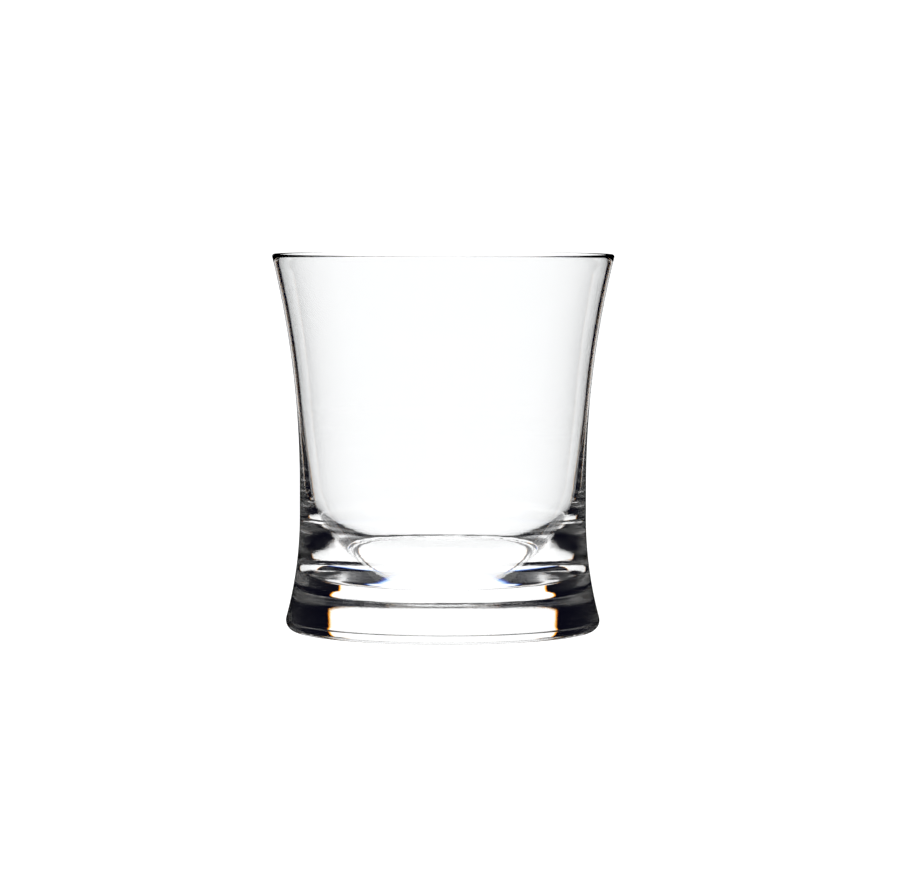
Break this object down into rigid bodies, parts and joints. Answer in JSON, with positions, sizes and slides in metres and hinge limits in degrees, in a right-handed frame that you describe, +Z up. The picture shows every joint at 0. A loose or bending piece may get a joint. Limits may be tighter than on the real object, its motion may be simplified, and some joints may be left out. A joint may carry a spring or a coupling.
{
  "type": "whiskey tumbler",
  "caption": "Clear glass tumbler with a narrow waist, a flared thin-walled bowl, a flat inside floor with a curved-in edge, and a thick solid flared base.",
  "frame": {"origin": "centre of the flat underside, on the surface that the tumbler stands on", "axes": "+Z up along the axis of the tumbler; it is round, so +X and +Y are any two directions at right angles"},
  "size_m": [0.09, 0.09, 0.0993],
  "materials": {
    "clear_glass": "fire-polished clear lead-free crystal, colourless, with faint drawn ripples"
  },
  "bodies": {
    "root": {"glass_body": "clear_glass"}
  },
  "joints": []
}
